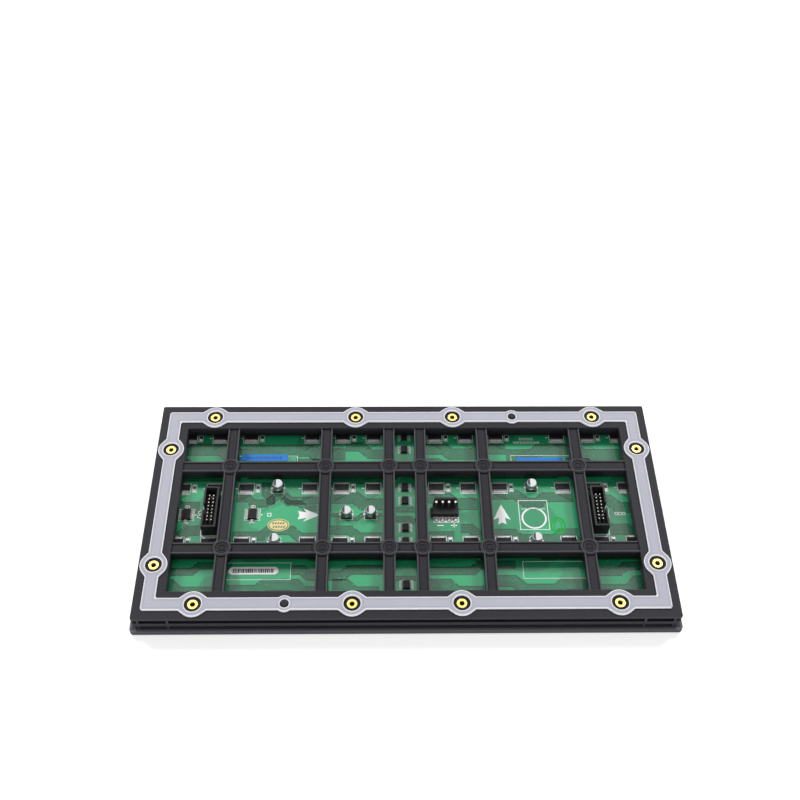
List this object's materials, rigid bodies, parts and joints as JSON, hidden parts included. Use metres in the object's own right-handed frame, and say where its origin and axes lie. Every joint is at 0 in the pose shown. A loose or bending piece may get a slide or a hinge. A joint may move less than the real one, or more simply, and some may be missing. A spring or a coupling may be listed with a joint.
{
  "type": "led display module",
  "caption": "Flat rectangular lamp tile: louvred front mask over a grid of lamps, green circuit board, ribbed black rear case with gasket, brass inserts and connectors.",
  "frame": {"origin": "middle of the module on the plane of the louvre tips of its lamp face", "axes": "+Z out of the wiring side, away from the lamp face; +X along the module; +Y across it, towards the edge mounted uppermost"},
  "size_m": [0.3196, 0.1596, 0.0174],
  "materials": {
    "mask_plastic": "fine grained matt black plastic",
    "circuit_board": "green lacquered glass-epoxy board",
    "lamp_plastic": "white lamp package with a clear filling",
    "case_plastic": "fine grained matt black plastic",
    "gasket_rubber": "flat grey rubber",
    "insert_brass": "turned",
    "screw_steel": "blackened",
    "chip_plastic": "moulded, slightly satin",
    "resistor_ceramic": "black coated with tinned ends",
    "capacitor_ceramic": "tan fired ceramic with tinned ends",
    "base_plastic": "moulded",
    "can_aluminium": "drawn, satin",
    "header_plastic": "moulded black",
    "pin_metal": "plated",
    "connector_plastic": "moulded black",
    "power_pin_metal": "tin plated"
  },
  "bodies": {
    "root": {"front_mask": "mask_plastic", "lamp_board": "circuit_board", "led_lamps": "lamp_plastic", "rear_case_frame": "case_plastic", "rear_case_ribs": "case_plastic", "screw_bosses": "case_plastic", "sealing_gasket": "gasket_rubber", "threaded_inserts": "insert_brass", "mask_screws": "screw_steel", "driver_chips": "chip_plastic", "row_switch_chips": "chip_plastic", "buffer_chips": "chip_plastic", "chip_resistors": "resistor_ceramic", "ceramic_capacitors": "capacitor_ceramic", "capacitor_bases": "base_plastic", "capacitor_cans": "can_aluminium", "input_header": "header_plastic", "input_header_pins": "pin_metal", "output_header": "header_plastic", "output_header_pins": "pin_metal", "power_connector": "connector_plastic", "power_pins": "power_pin_metal"}
  },
  "joints": []
}
